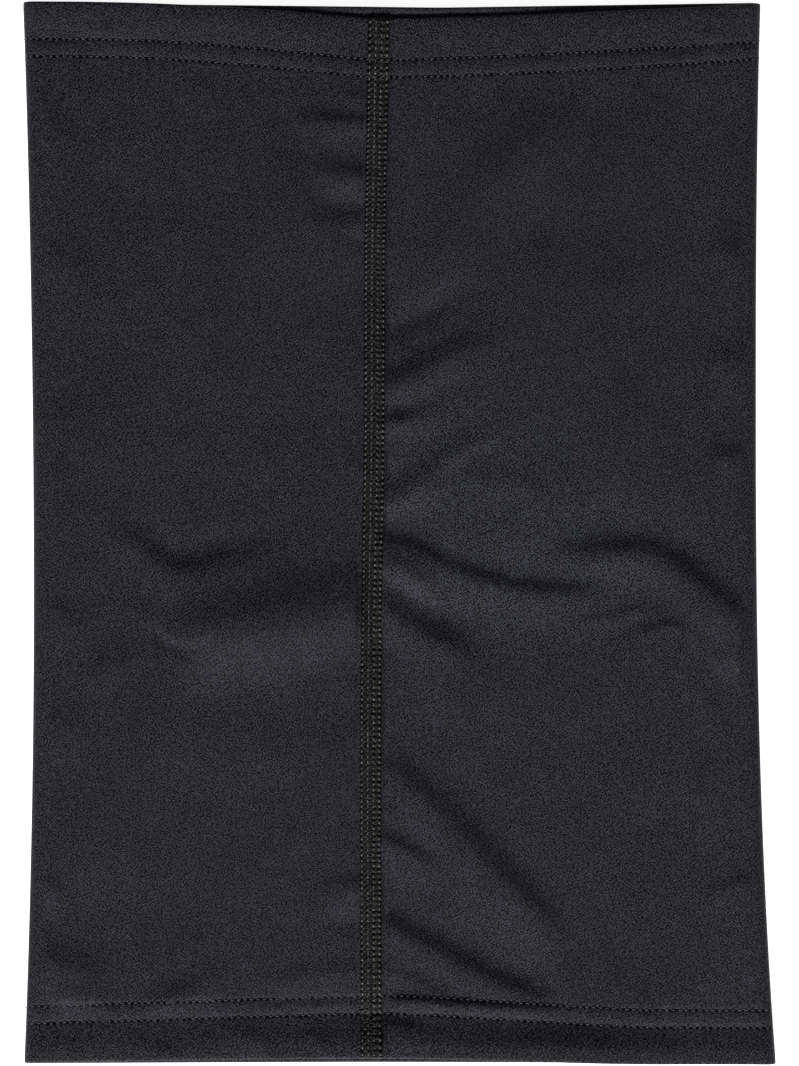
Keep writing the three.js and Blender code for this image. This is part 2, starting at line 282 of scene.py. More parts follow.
def hem_shift(x, y, top, bottom):
    """How far a point moves along the tube because its hem bows."""
    shift = np.zeros(np.broadcast(x, y).shape)
    from_row = np.clip((HALF_LENGTH - np.abs(y)) / HEM_ROWS[0], 0, 1)
    for shape, here in ((top, y > 0), (bottom, y <= 0)):
        from_middle = x - seam_x(y) - shape.middle
        left = bow_share(-from_middle, shape.left)
        right = bow_share(from_middle, shape.right)
        depth = shape.edge + (shape.rows - shape.edge) * from_row
        shift = np.where(here, depth * np.where(from_middle < 0, left, right), shift)
    return shift * smooth((np.abs(y) - BOW_START) / (BOW_FULL - BOW_START))


def line_through(points, x):
    """The y at x of a smooth curve through the points, and its slope."""
    px, py = np.array(points, float).T
    slopes = np.gradient(py, px)
    x = np.clip(x, px[0], px[-1])
    i = np.clip(np.searchsorted(px, x, side="right") - 1, 0, len(px) - 2)
    span = px[i + 1] - px[i]
    t = (x - px[i]) / span
    rise = (py[i + 1] - py[i]) / span
    bend = 3 * rise - 2 * slopes[i] - slopes[i + 1]
    twist = slopes[i] + slopes[i + 1] - 2 * rise
    y = py[i] + span * t * (slopes[i] + t * (bend + t * twist))
    return y, slopes[i] + t * (2 * bend + 3 * t * twist)


def hump(distance, below, above):
    """A bell with a width of its own on either side."""
    return bell(distance, np.where(distance < 0, below, above))


CREST = 0.75  # a ridge's crest lies this many nears below its line, and its dip as many above
STEEPNESS = 2 * CREST * math.exp(-CREST**2)  # slope of hump there, times its width


def fold_height(fold, x, y):
    """Height of one fold over the plain cloth."""
    start, stop = fold.line[0][0], fold.line[-1][0]
    line_y, slope = line_through(fold.line, x)
    share = (x - start) / (stop - start)
    fade = smooth(share / fold.fade_in) * smooth((1 - share) / fold.fade_out)
    distance = (y - line_y) / np.hypot(1, slope)
    height = fold.steep * fold.near / STEEPNESS / (1 + fold.dip)
    crest = CREST * fold.near
    ridge = hump(distance + crest, fold.lower, fold.near)
    trough = hump(distance - crest, fold.near, fold.upper)
    return height * fade * (ridge - fold.dip * trough)


def seam_puckers():
    """Short shallow folds that leave the seam on both sides."""
    rng = np.random.default_rng(SEAM_PUCKER_SEED)
    folds = []
    for i in range(SEAM_PUCKERS):
        place = (i + rng.uniform(-0.35, 0.35)) / (SEAM_PUCKERS - 1)
        y = (2 * place - 1) * SEAM_PUCKER_END
        side = 1 if rng.random() < 0.6 else -1
        reach = rng.uniform(5, 13)
        drift = rng.uniform(-2, 2)
        start = seam_x(y) + side * (SEAM_HALF_WIDTH + SEAM_PUCKER_START)
        ends = sorted([(start, y), (start + side * reach, y + drift)])
        fades = (0.1, 0.8) if side > 0 else (0.8, 0.1)
        steep = rng.uniform(0.03, 0.10)
        near = rng.uniform(1.4, 2.6)
        folds.append(Fold(ends, steep, near, SEAM_PUCKER_LOWER, *fades))
    return folds


def ripple(x, y):
    """The slight unevenness that all laid cloth has: a few broad waves in all directions."""
    rng = np.random.default_rng(RIPPLE_SEED)
    height = np.zeros(np.broadcast(x, y).shape)
    for wavelength in RIPPLE_LENGTHS:
        angle = rng.uniform(0, math.tau)
        phase = rng.uniform(0, math.tau)
        wave = math.tau / wavelength * (x * math.cos(angle) + y * math.sin(angle))
        height += RIPPLE_STEEPNESS * wavelength * np.sin(wave + phase)
    return height


def disc(x, y):
    """The round mark: the cloth stands a little higher over it."""
    out = np.hypot(x - DISC_X, y - DISC_Y)
    return DISC_HEIGHT * smooth((DISC_RADIUS + DISC_RIM / 2 - out) / DISC_RIM)


def stitch_grooves(y):
    """Each row of hem stitches draws the cloth down in a groove, and lifts it between them."""
    from_edge = HALF_LENGTH - np.abs(y)
    grooves = sum(bell(from_edge - row, GROOVE_WIDTH) for row in HEM_ROWS)
    bulge = bell(from_edge - sum(HEM_ROWS) / 2, HEM_BULGE_WIDTH)
    return HEM_BULGE * bulge - GROOVE_DEPTH * grooves


def hem_lift(x, y):
    """How much higher a hem's edge stands than its stitches."""
    top = TOP_LIFT * (1 - TOP_DROP * bell(x - TOP_MIDDLE, TOP_DROP_WIDTH))
    bottom = BOTTOM_LIFT + BOTTOM_SLACK * bell(x - SLACK_X, SLACK_WIDTH)
    from_row = HEM_ROWS[0] - (HALF_LENGTH - np.abs(y))
    return np.where(y > 0, top, bottom) * smooth((from_row + LIFT_START) / LIFT_LENGTH)


def all_folds(x, y, flat_y, from_seam):
    """Height of every fold and of the round mark, over the plain cloth."""
    from_row = HALF_LENGTH - np.abs(flat_y) - HEM_ROWS[0]
    in_body = HEM_SHARE + (1 - HEM_SHARE) * smooth(from_row / HEM_FADE)
    off_seam = SEAM_SHARE + (1 - SEAM_SHARE) * smooth((from_seam - SEAM_FADE_START) / SEAM_FADE)
    body = sum(fold_height(fold, x, y) for fold in FOLDS + seam_puckers())
    hems = sum(fold_height(fold, x, y) for fold in HEM_FOLDS)
    return (body * in_body + hems) * off_seam + disc(x, y)


def front_height(x, y, flat_y):
    """Height of the front layer's top face. flat_y is y before the hem's bow."""
    left = -side_fold(LEFT_WAIST, flat_y) + SIDE_RADIUS
    right = side_fold(RIGHT_WAIST, flat_y) - SIDE_RADIUS
    from_side = np.clip(np.minimum(x - left, right - x), 0, None)
    from_seam = np.abs(x - seam_x(flat_y))
    plain = MIDDLE_HEIGHT + (SIDE_HEIGHT - MIDDLE_HEIGHT) * bell(from_side, SIDE_SLOPE_WIDTH)
    waves = all_folds(x, y, flat_y, from_seam) + ripple(x, y)
    band = 1 - smooth((from_seam - SEAM_HALF_WIDTH) / SEAM_FLANK)
    pinch = bell(from_seam - SEAM_HALF_WIDTH - PINCH_AT, PINCH_WIDTH)
    seam = SEAM_RAISE * band - PINCH_DEPTH * pinch
    lift = hem_lift(x, flat_y)
    return plain + lift + smooth(from_side / SIDE_FADE) * waves + seam + stitch_grooves(flat_y)


def back_height(x, flat_y):
    """Height of the back layer's outer face: it lies on the table, drawn up at its stitches, and
    its top edge curls up."""
    from_edge = HALF_LENGTH - flat_y
    outwards = np.clip(1 - from_edge / EDGE_CURL_LENGTH, 0, 1)
    hem_curl = BACK_CURL * smooth(1 - from_edge / BACK_CURL_LENGTH)
    edge_curl = EDGE_CURL * outwards * (2 - outwards)
    curl = (hem_curl + edge_curl) * bell(x - TOP_MIDDLE, CURL_WIDTH)
    return curl - stitch_grooves(flat_y) * BACK_GROOVE + BACK_REST


# ---------------------------------------------------------------- places on the cloth

# The cloth's own coordinates: u runs round the tube from the seam's right edge, v along it from
# its middle, over the hem's edge and back inside to the raw edge. Both are millimetres of cloth.
FRONT_RIGHT = float(side_fold(RIGHT_WAIST, 0) - SIDE_RADIUS - seam_x(0))
FRONT_LEFT = float(side_fold(LEFT_WAIST, 0) - SIDE_RADIUS + seam_x(0))
BACK = FRONT_RIGHT + FRONT_LEFT
SIDE = math.pi * (SIDE_RADIUS + SIDE_HEIGHT / 2) / 2
U_MARKS = np.cumsum([0, FRONT_RIGHT, SIDE, BACK, SIDE, FRONT_LEFT])
ROUND = U_MARKS[-1]

TURN_V = HALF_LENGTH - TURN_RADIUS - CLOTH / 2  # where the cloth starts to turn in
INSIDE_V = TURN_V + math.pi * TURN_RADIUS  # where it has turned
RAW_V = INSIDE_V + HEM_DEPTH - TURN_RADIUS - CLOTH / 2  # the raw edge

EDGE_INSET = 0.002  # how far in from the two cut edges a point on the cloth has to stay


def along_tube(v):
    """The flat y of the cloth's middle at v, and its depth in from the tube's outer face."""
    size = np.abs(v)
    turn = np.clip((size - TURN_V) / TURN_RADIUS, 0, math.pi)
    outside = np.minimum(size, TURN_V) + TURN_RADIUS * np.sin(turn)
    inside = TURN_V - (size - INSIDE_V)
    depth = CLOTH / 2 + TURN_RADIUS * (1 - np.cos(turn))
    return np.sign(v) * np.where(size < INSIDE_V, outside, inside), depth


def inside_hem(row_distance):
    """The v of a turned-in point, from its distance to the hem's edge."""
    return INSIDE_V + row_distance - TURN_RADIUS - CLOTH / 2


def cloth_middle(u, v):
    """Points of the cloth's middle surface. The regions are, in the order of u: the front's right
    part, the right side fold, the back, the left side fold and the front's left part."""
    u, v = np.broadcast_arrays(np.asarray(u, float), np.asarray(v, float))
    flat_y, depth = along_tube(v)
    left = -side_fold(LEFT_WAIST, flat_y) + SIDE_RADIUS
    right = side_fold(RIGHT_WAIST, flat_y) - SIDE_RADIUS
    seam = seam_x(flat_y)
    region = np.clip(np.searchsorted(U_MARKS, u, side="right") - 1, 0, 4)
    at = (u - U_MARKS[region]) / np.diff(U_MARKS)[region]
    gap = SEAM_GAP / 2

    x = np.select(
        [region == 0, region == 1, region == 2, region == 3],
        [seam + gap + at * (right - seam - gap), right, right + at * (left - right), left],
        left + at * (seam - gap - left),
    )
    front_y = flat_y + hem_shift(x, flat_y, FRONT_TOP_BOW, FRONT_BOTTOM_BOW)
    back_y = flat_y + hem_shift(x, flat_y, BACK_TOP_BOW, BACK_BOTTOM_BOW)
    over = front_height(x, front_y, flat_y)
    under = back_height(x, flat_y)

    turn = np.where(region == 1, at, 1 - at) * math.pi
    side = np.where(region == 1, 1, -1)
    half = (over - under) / 2
    round_x = x + side * (SIDE_RADIUS - depth) * np.sin(turn)
    round_z = (over + under) / 2 + (half - depth) * np.cos(turn)
    round_y = front_y + (back_y - front_y) * smooth(turn / math.pi)

    on_side = (region == 1) | (region == 3)
    on_back = region == 2
    x = np.where(on_side, round_x, x)
    y = np.select([on_side, on_back], [round_y, back_y], front_y)
    z = np.select([on_side, on_back], [round_z, under + depth], over - depth)
    return np.stack([x, y, z], axis=-1)


def unit(vectors):
    """The vectors, each made 1 long."""
    return vectors / np.maximum(np.linalg.norm(vectors, axis=-1, keepdims=True), 1e-12)


def on_cloth(u, v, lift):
    """Points at a height over the cloth's outer face, and the directions out of it there."""
    step = 0.25
    low_u = np.clip(u - step, EDGE_INSET / 2, ROUND - EDGE_INSET / 2)
    high_u = np.clip(u + step, EDGE_INSET / 2, ROUND - EDGE_INSET / 2)
    along_u = cloth_middle(high_u, v) - cloth_middle(low_u, v)
    along_v = cloth_middle(u, v + step) - cloth_middle(u, v - step)
    out = unit(np.cross(along_u, along_v))
    return cloth_middle(u, v) + out * np.asarray(CLOTH / 2 + lift)[..., None], out


# ---------------------------------------------------------------- meshes


def graded(start, stop, step_at):
    """Values from start to stop whose spacing follows step_at."""
    values = [start]
    while values[-1] < stop:
        values.append(values[-1] + step_at(values[-1]))
    values = np.array(values)
    return start + (values - start) * (stop - start) / (values[-1] - start)


def new_object(name, vertices, faces, material):
    """A smooth object in the scene, from vertices in millimetres and a list of faces."""
    mesh = bpy.data.meshes.new(name)
    mesh.from_pydata((np.asarray(vertices) * MM).tolist(), [], faces)
    mesh.shade_smooth()
    mesh.materials.append(material)
    thing = bpy.data.objects.new(name, mesh)
    bpy.context.scene.collection.objects.link(thing)
    return thing


def grid_faces(rows, columns, close=False):
    """Quads of a grid of vertices that are numbered row by row. close joins each row's ends."""
    across = columns if close else columns - 1
    row, column = np.meshgrid(np.arange(rows - 1), np.arange(across), indexing="ij")
    right = (column + 1) % columns
    a = row * columns + column
    b = row * columns + right
    return np.stack([a, b, b + columns, a + columns], axis=-1).reshape(-1, 4)


def cloth_grid():
    """u and v of the cloth's grid: finer along the seam and along the rows of stitches."""
    def across_front(u):
        return FINE_STEP if u < SEAM_HALF_WIDTH + FINE_BY_SEAM else PLAIN_STEP

    def along(v):
        y, _ = along_tube(v)
        from_edge = HALF_LENGTH - abs(float(y))
        by_row = min(abs(from_edge - row) for row in HEM_ROWS)
        return FINE_STEP if by_row < FINE_BY_ROW else PLAIN_STEP

    first = graded(0, FRONT_RIGHT, across_front)
    last = ROUND - graded(0, FRONT_LEFT, across_front)[::-1]
    right = np.linspace(U_MARKS[1], U_MARKS[2], SIDE_STEPS + 1)[1:]
    back = np.linspace(U_MARKS[2], U_MARKS[3], int(BACK / BACK_STEP))[1:]
    left = np.linspace(U_MARKS[3], U_MARKS[4], SIDE_STEPS + 1)[1:-1]
    u = np.concatenate([first, right, back, left, last])
    u[-1] -= 1e-6  # the last column belongs to the front's left part, not past its end

    half = np.concatenate([
        graded(0, TURN_V, along),
        np.linspace(TURN_V, INSIDE_V, HEM_TURN_STEPS + 1)[1:],
        graded(INSIDE_V, RAW_V, along)[1:],
    ])
    return u, np.concatenate([-half[:0:-1], half])


def border_numbers(rows, columns):
    """The vertices round the border of a grid, in order."""
    number = np.arange(rows * columns).reshape(rows, columns)
    sides = [number[0, :], number[1:, -1], number[-1, -2::-1], number[-2:0:-1, 0]]
    return np.concatenate(sides)


def add_cloth_uv(cloth, u, v):
    """Keeps each vertex's own u and v as a UV layer, for the knit. The vertices are the grid of
    the outer face, then that of the inner face."""
    place = np.stack(np.broadcast_arrays(u[None, :], v[:, None]), axis=-1).reshape(-1, 2)
    place = np.concatenate([place, place])
    corner_vertex = np.zeros(len(cloth.data.loops), int)
    cloth.data.loops.foreach_get("vertex_index", corner_vertex)
    layer = cloth.data.uv_layers.new(name="cloth")
    layer.data.foreach_set("uv", place[corner_vertex].astype(np.float32).ravel())


def make_cloth(material):
    """The tube with both its hems: an outer and an inner face, closed by a rim."""
    u, v = cloth_grid()
    middle = cloth_middle(u[None, :], v[:, None])
    along_v = np.gradient(middle, axis=0)
    along_u = np.gradient(middle, axis=1)
    out = unit(np.cross(along_u, along_v)) * CLOTH / 2
    rows, columns = middle.shape[:2]
    count = rows * columns
    vertices = np.concatenate([(middle + out).reshape(-1, 3), (middle - out).reshape(-1, 3)])

    outer = grid_faces(rows, columns)
    inner = outer[:, ::-1] + count
    border = border_numbers(rows, columns)
    after = np.roll(border, -1)
    rim = np.stack([after, border, border + count, after + count], axis=-1)
    faces = np.concatenate([outer, inner, rim]).tolist()
    cloth = new_object("jersey_tube", vertices, faces, material)
    add_cloth_uv(cloth, u, v)
    return cloth


# A sewing thread's oval section: its width along the cloth, its height, and its sides.
Yarn = namedtuple("Yarn", "width height sides")


def make_thread(name, u, v, lift, yarn, material):
    """A thread along the cloth points (u, v). lift is the height of its middle over the cloth's
    outer face."""
    path, out = on_cloth(u, v, lift)
    ahead = unit(np.gradient(path, axis=0))
    side = unit(np.cross(ahead, out))
    up = np.cross(side, ahead)
    angle = np.arange(yarn.sides) * math.tau / yarn.sides
    sideways = (np.cos(angle) * yarn.width / 2)[None, :, None]
    upwards = (np.sin(angle) * yarn.height / 2)[None, :, None]
    rings = path[:, None] + side[:, None] * sideways + up[:, None] * upwards
    rows = len(path)
    vertices = np.concatenate([rings.reshape(-1, 3), path[:1], path[-1:]])
    faces = grid_faces(rows, yarn.sides, close=True).tolist()
    last_ring = (rows - 1) * yarn.sides
    first_end, last_end = rows * yarn.sides, rows * yarn.sides + 1
    for i in range(yarn.sides):
        j = (i + 1) % yarn.sides
        faces.append([first_end, j, i])
        faces.append([last_end, last_ring + i, last_ring + j])
    return new_object(name, vertices, faces, material)


# ---------------------------------------------------------------- stitches

# One stitch, as shares of its length and how far up the thread is: 1 lies on the cloth and 0 is
# down in the needle hole, which comes first.
STITCH_SHARES = (0.0, 0.16, 0.32, 0.50, 0.68, 0.84)
STITCH_UP = (0.0, 0.35, 0.85, 1.0, 0.85, 0.35)

HEM_NEEDLE = Yarn(0.38, 0.30, 6)
HEM_LOOPER = Yarn(0.5, 0.22, 5)
SEAM_NEEDLE = Yarn(0.38, 0.32, 6)
SEAM_COVER = Yarn(0.28, 0.26, 5)
SEAM_LOOPER = Yarn(0.5, 0.20, 5)

# heights of the threads' middles over the cloth's outer face
HEM_HOLE, HEM_RISE = -0.70, 0.86
SEAM_HOLE, SEAM_RISE, SEAM_DEEPEST = -1.30, 1.42, -0.60
HEM_LOOPER_LIFT = 0.14
SEAM_COVER_LIFT = 0.05
SEAM_LOOPER_LIFT = -CLOTH - 0.12

# how far short of the cloth's edges each kind of thread ends
HEM_NEEDLE_END, HEM_LOOPER_END = 0.05, 0.4
SEAM_NEEDLE_END, SEAM_COVER_END, SEAM_LOOPER_END = 0.5, 0.8, 1

SEAM_LOOPER_REACH = SEAM_ROWS[-1] + 0.2
CROOK = 0.13  # how far a crooked zigzag strays along its row, in stitches
COVER_CROOKS, COVER_UNEVEN = 3, 0.26
THREAD_SEED = 5


def stitch_line(start, stop, length):
    """Places along a row of stitches, and how far up the thread is at each."""
    count = round((stop - start) / length)
    real = (stop - start) / count
    places = start + (np.arange(count)[:, None] + np.array(STITCH_SHARES)) * real
    return places.ravel(), np.tile(STITCH_UP, count)


def zigzag(start, stop, length, half_width, crooks=0, uneven=0.0):
    """Places along a row, and the thread's swing from side to side, there and back once to a
    stitch. On its way across it may crook up and down, and lie unevenly."""
    count = round((stop - start) / length)
    steps = 4 + 8 * crooks
    share = np.arange(count * steps) / steps
    real = (stop - start) / count
    across = 1 - 4 * np.abs(share % 1 - 0.5)
    crook = CROOK * np.sin(across * math.pi * crooks)
    rng = np.random.default_rng(THREAD_SEED)
    crook += uneven * rng.uniform(-1, 1, len(share))
    swing = half_width * across + uneven * rng.uniform(-1, 1, len(share))
    places = start + np.clip(share + crook, 0, count) * real
    return places, swing


def hem_needle_thread(name, side, row, material):
    u, up = stitch_line(HEM_NEEDLE_END, ROUND - HEM_NEEDLE_END, HEM_STITCH)
    v = np.full(len(u), side * (HALF_LENGTH - HEM_ROWS[row]))
    return make_thread(name, u, v, HEM_HOLE + HEM_RISE * up, HEM_NEEDLE, material)


def hem_looper_thread(name, side, material):
    """It lies on the turned-in face of the hem, across both rows."""
    middle = inside_hem((HEM_ROWS[0] + HEM_ROWS[1]) / 2)
    half = (HEM_ROWS[1] - HEM_ROWS[0]) / 2
    u, swing = zigzag(HEM_LOOPER_END, ROUND - HEM_LOOPER_END, HEM_STITCH, half)
    lift = np.full(len(u), HEM_LOOPER_LIFT)
    return make_thread(name, u, side * middle + swing, lift, HEM_LOOPER, material)


def seam_u(offset, v):
    """The cloth's u at an offset from the seam's middle, where the cloth's two cut edges meet."""
    y, _ = along_tube(v)
    gap = SEAM_GAP / 2
    right = side_fold(RIGHT_WAIST, y) - SIDE_RADIUS - seam_x(y) - gap
    left = side_fold(LEFT_WAIST, y) - SIDE_RADIUS + seam_x(y) - gap
    on_right = np.clip(offset - gap, EDGE_INSET, None) / right * FRONT_RIGHT
    on_left = ROUND - np.clip(-offset - gap, EDGE_INSET, None) / left * FRONT_LEFT
    return np.where(offset > 0, on_right, on_left)


def flatlock_needle_thread(name, row, material):
    end = RAW_V - SEAM_NEEDLE_END
    v, up = stitch_line(-end, end, SEAM_STITCH)
    u = seam_u(np.full(len(v), SEAM_ROWS[row]), v)
    lift = np.maximum(SEAM_HOLE + SEAM_RISE * up, SEAM_DEEPEST)
    return make_thread(name, u, v, lift, SEAM_NEEDLE, material)


def flatlock_cover_thread(name, material):
    """It crosses between the outer needle rows, in crooked strokes that cover the cut edges."""
    end = RAW_V - SEAM_COVER_END
    half = SEAM_ROWS[-1]
    v, swing = zigzag(-end, end, SEAM_STITCH, half, COVER_CROOKS, COVER_UNEVEN)
    lift = np.full(len(v), SEAM_COVER_LIFT)
    return make_thread(name, seam_u(swing, v), v, lift, SEAM_COVER, material)


def flatlock_looper_thread(name, material):
    """It lies on the inner face of the cloth, between the raw edges of the two hems."""
    end = HALF_LENGTH - HEM_DEPTH - SEAM_LOOPER_END
    v, swing = zigzag(-end, end, SEAM_STITCH, SEAM_LOOPER_REACH, crooks=1)
    lift = np.full(len(v), SEAM_LOOPER_LIFT)
    return make_thread(name, seam_u(swing, v), v, lift, SEAM_LOOPER, material)


# ---------------------------------------------------------------- materials


class Nodes:
    """Short words for building a material's node tree."""

    def __init__(self, name):
        self.material = bpy.data.materials.new(name)
        self.material.use_nodes = True
        self.tree = self.material.node_tree
        self.shader = self.tree.nodes["Principled BSDF"]

    def link(self, source, socket):
        """Joins a node's output to a socket, or sets the socket to a number."""
        if isinstance(source, (int, float)):
            socket.default_value = source
        else:
            self.tree.links.new(source, socket)

    def math(self, operation, a, b=0.0, c=0.0):
        node = self.tree.nodes.new("ShaderNodeMath")
        node.operation = operation
        for socket, value in zip(node.inputs, (a, b, c)):
            self.link(value, socket)
        return node.outputs[0]

    def uv(self, layer):
        """The two numbers of a UV layer."""
        node = self.tree.nodes.new("ShaderNodeUVMap")
        node.uv_map = layer
        return self.part(node.outputs[0], 0), self.part(node.outputs[0], 1)

    def part(self, vector, axis):
        """One number out of a vector."""
        node = self.tree.nodes.new("ShaderNodeSeparateXYZ")
        self.tree.links.new(vector, node.inputs[0])
        return node.outputs[axis]

    def place(self):
        """The place on the object, in metres."""
        return self.tree.nodes.new("ShaderNodeTexCoord").outputs["Object"]

    def noise(self, vector, scale, detail, roughness=0.5):
        node = self.tree.nodes.new("ShaderNodeTexNoise")
        node.inputs["Scale"].default_value = scale
        node.inputs["Detail"].default_value = detail
        node.inputs["Roughness"].default_value = roughness
        self.tree.links.new(vector, node.inputs["Vector"])
        return node.outputs[0]

    def loop_random(self, u, v, right=0, up=0):
        """A random number and a random colour for every loop of the knit, or for the loop some
        columns to the right of it and some rows up."""
        cell = self.tree.nodes.new("ShaderNodeCombineXYZ")
        column = self.math("FLOOR", self.math("DIVIDE", u, WALE))
        row = self.math("FLOOR", self.math("DIVIDE", v, COURSE))
        self.link(self.math("ADD", column, right), cell.inputs[0])
        self.link(self.math("ADD", row, up), cell.inputs[1])
        node = self.tree.nodes.new("ShaderNodeTexWhiteNoise")
        self.tree.links.new(cell.outputs[0], node.inputs["Vector"])
        return node.outputs["Value"], node.outputs["Color"]

    def loop_glint(self, u, v):
        """The painted glint of each loop: how much brighter it is than its neighbours, from -1 to
        1, and the colour that says where it leans."""
        here, lean = self.loop_random(u, v)
        glint = here
        for right, up in ((1, 0), (-1, 0), (0, 1), (0, -1)):
            neighbour, _ = self.loop_random(u, v, right, up)
            glint = self.math("MULTIPLY_ADD", neighbour, -0.25, glint)
        return glint, lean

    def leaning(self, lean, amount):
        """The surface's normal, leant by a random colour: each loop faces its own way."""
        offset = self.tree.nodes.new("ShaderNodeVectorMath")
        offset.operation = "MULTIPLY_ADD"
        self.tree.links.new(lean, offset.inputs[0])
        offset.inputs[1].default_value = (amount,) * 3
        offset.inputs[2].default_value = (-amount / 2,) * 3
        normal = self.tree.nodes.new("ShaderNodeNewGeometry").outputs["Normal"]
        total = self.tree.nodes.new("ShaderNodeVectorMath")
        self.tree.links.new(normal, total.inputs[0])
        self.tree.links.new(offset.outputs[0], total.inputs[1])
        unit = self.tree.nodes.new("ShaderNodeVectorMath")
        unit.operation = "NORMALIZE"
        self.tree.links.new(total.outputs[0], unit.inputs[0])
        return unit.outputs[0]

    def scaled(self, vector, x, y, z):
        node = self.tree.nodes.new("ShaderNodeVectorMath")
        node.operation = "MULTIPLY"
        node.inputs[1].default_value = (x, y, z)
        self.tree.links.new(vector, node.inputs[0])
        return node.outputs[0]

    def ramp(self, value, low, high, to_low, to_high):
        """Goes straight from to_low to to_high as the value goes from low to high."""
        node = self.tree.nodes.new("ShaderNodeMapRange")
        ends = {"From Min": low, "From Max": high, "To Min": to_low, "To Max": to_high}
        for name, number in ends.items():
            node.inputs[name].default_value = number
        self.link(value, node.inputs["Value"])
        return node.outputs[0]

    def mix(self, factor, a, b):
        node = self.tree.nodes.new("ShaderNodeMix")
        node.data_type = "RGBA"
        self.link(factor, node.inputs["Factor"])
        for socket, colour in ((node.inputs["A"], a), (node.inputs["B"], b)):
            if isinstance(colour, tuple):
                socket.default_value = (*colour, 1)
            else:
                self.tree.links.new(colour, socket)
        return node.outputs["Result"]

    def shade(self, colour, factor):
        """A colour made darker or lighter by a factor."""
        node = self.tree.nodes.new("ShaderNodeVectorMath")
        node.operation = "SCALE"
        self.tree.links.new(colour, node.inputs[0])
        self.link(factor, node.inputs["Scale"])
        return node.outputs[0]

    def bump(self, height, distance, strength, normal=None):
        """Small relief, on top of a normal that may already lean."""
        node = self.tree.nodes.new("ShaderNodeBump")
        if normal:
            self.tree.links.new(normal, node.inputs["Normal"])
        node.inputs["Distance"].default_value = distance
        node.inputs["Strength"].default_value = strength
        self.tree.links.new(height, node.inputs["Height"])
        self.tree.links.new(node.outputs[0], self.shader.inputs["Normal"])

    def surface(self, colour, roughness, specular, tint=(1.0, 1.0, 1.0)):
        """Sets the shader and returns the material."""
        self.link(colour, self.shader.inputs["Base Color"])
        self.link(roughness, self.shader.inputs["Roughness"])
        self.shader.inputs["Specular IOR Level"].default_value = specular
        self.shader.inputs["Specular Tint"].default_value = (*tint, 1)
        return self.material


# the knit
WALE = 0.40  # width of one column of loops
COURSE = 0.36  # height of one loop
LOOP_SLANT = 1.1  # how far each half of a loop runs up towards the column's middle, in loops
LOOP_CONTRAST = 8  # how much brighter or darker than its neighbours a loop's painted glint may make it
LOOP_DARKEST = 0.03
LOOP_LEAN = 0.28

# half the length and width of the needle hole round a needle's thread, and the seam's share of it;
# each hole gets painted shade
PIT_LENGTH, PIT_WIDTH = 0.68, 0.50
SEAM_PIT = 0.8
# how dark the painted shade in a needle hole makes the cloth
PIT_PAINTED_SHADE = 0.03

# a faded patch, whose black is a little greener
PATCH_X, PATCH_Y, PATCH_RADIUS = 37, 4, 45

# distance from the seam's middle: its own colour ends at the first, and the painted shade beside
# its outer threads at the second
SEAM_GROUND_EDGE, SEAM_SHADE_EDGE = (2.9, 3.2), (3.2, 3.6)
# how dark that painted shade makes the cloth
SEAM_PAINTED_SHADE = 0.5

# colours as linear light, and glosses
JERSEY_COLOUR = (0.0092, 0.0088, 0.0112)
PATCH_COLOUR = (0.0107, 0.0115, 0.0138)
SEAM_COLOUR = (0.0078, 0.0084, 0.0074)
JERSEY_ROUGHNESS = (0.56, 0.72)  # of a dark and of a bright loop
JERSEY_SPECULAR, JERSEY_TINT = 0.13, (0.90, 0.86, 1.0)
SEAM_THREAD_COLOUR, SEAM_THREAD_SPECULAR = (0.090, 0.088, 0.086), 0.45
COVER_THREAD_COLOUR, COVER_THREAD_SPECULAR = (0.0175, 0.0172, 0.0160), 0.2
HEM_THREAD_COLOUR, HEM_THREAD_SPECULAR = (0.034, 0.033, 0.039), 0.35
THREAD_ROUGHNESS = 0.42


def knit_height(nodes, u, v):
    """The relief of the knit: ribs of slanting loops."""
    column = nodes.math("FRACT", nodes.math("DIVIDE", u, WALE))
    from_middle = nodes.math("ABSOLUTE", nodes.math("SUBTRACT", column, 0.5))
    row = nodes.math("DIVIDE", v, COURSE)
    slant = nodes.math("ADD", row, nodes.math("MULTIPLY", from_middle, LOOP_SLANT))
    loop = nodes.math("SINE", nodes.math("MULTIPLY", slant, math.tau))
    rib = nodes.math("SINE", nodes.math("MULTIPLY", column, math.pi))
    return nodes.math("MULTIPLY", rib, nodes.math("MULTIPLY_ADD", loop, 0.3, 0.7))


def faded_share(nodes, place):
    """1 in the faded patch and 0 outside it, with an uneven border."""
    out = nodes.ramp(nodes.noise(place, 60, 2), 0.3, 0.7, -0.1, 0.1)
    for axis, middle in enumerate((PATCH_X, PATCH_Y)):
        away = nodes.math("SUBTRACT", nodes.part(place, axis), middle * MM)
        share = nodes.math("DIVIDE", away, PATCH_RADIUS * MM)
        out = nodes.math("ADD", out, nodes.math("POWER", share, 2.0))
    return nodes.ramp(out, 0.5, 1.5, 1.0, 0.0)


def stitch_pits(nodes, along, from_row, pitch, uneven, size=1):
    """1 at each needle hole of a row and 0 elsewhere. uneven makes each hole its own size."""
    stitch = nodes.math("ADD", nodes.math("DIVIDE", along, pitch), 0.5)
    from_hole = nodes.math("SUBTRACT", nodes.math("FRACT", stitch), 0.5)
    length = nodes.math("MULTIPLY", from_hole, pitch / PIT_LENGTH / size)
    width = nodes.math("DIVIDE", from_row, PIT_WIDTH * size)
    out = nodes.math("ADD", nodes.math("POWER", length, 2.0), nodes.math("POWER", width, 2.0))
    return nodes.ramp(nodes.math("ADD", out, uneven), 0.6, 1.4, 1.0, 0.0)


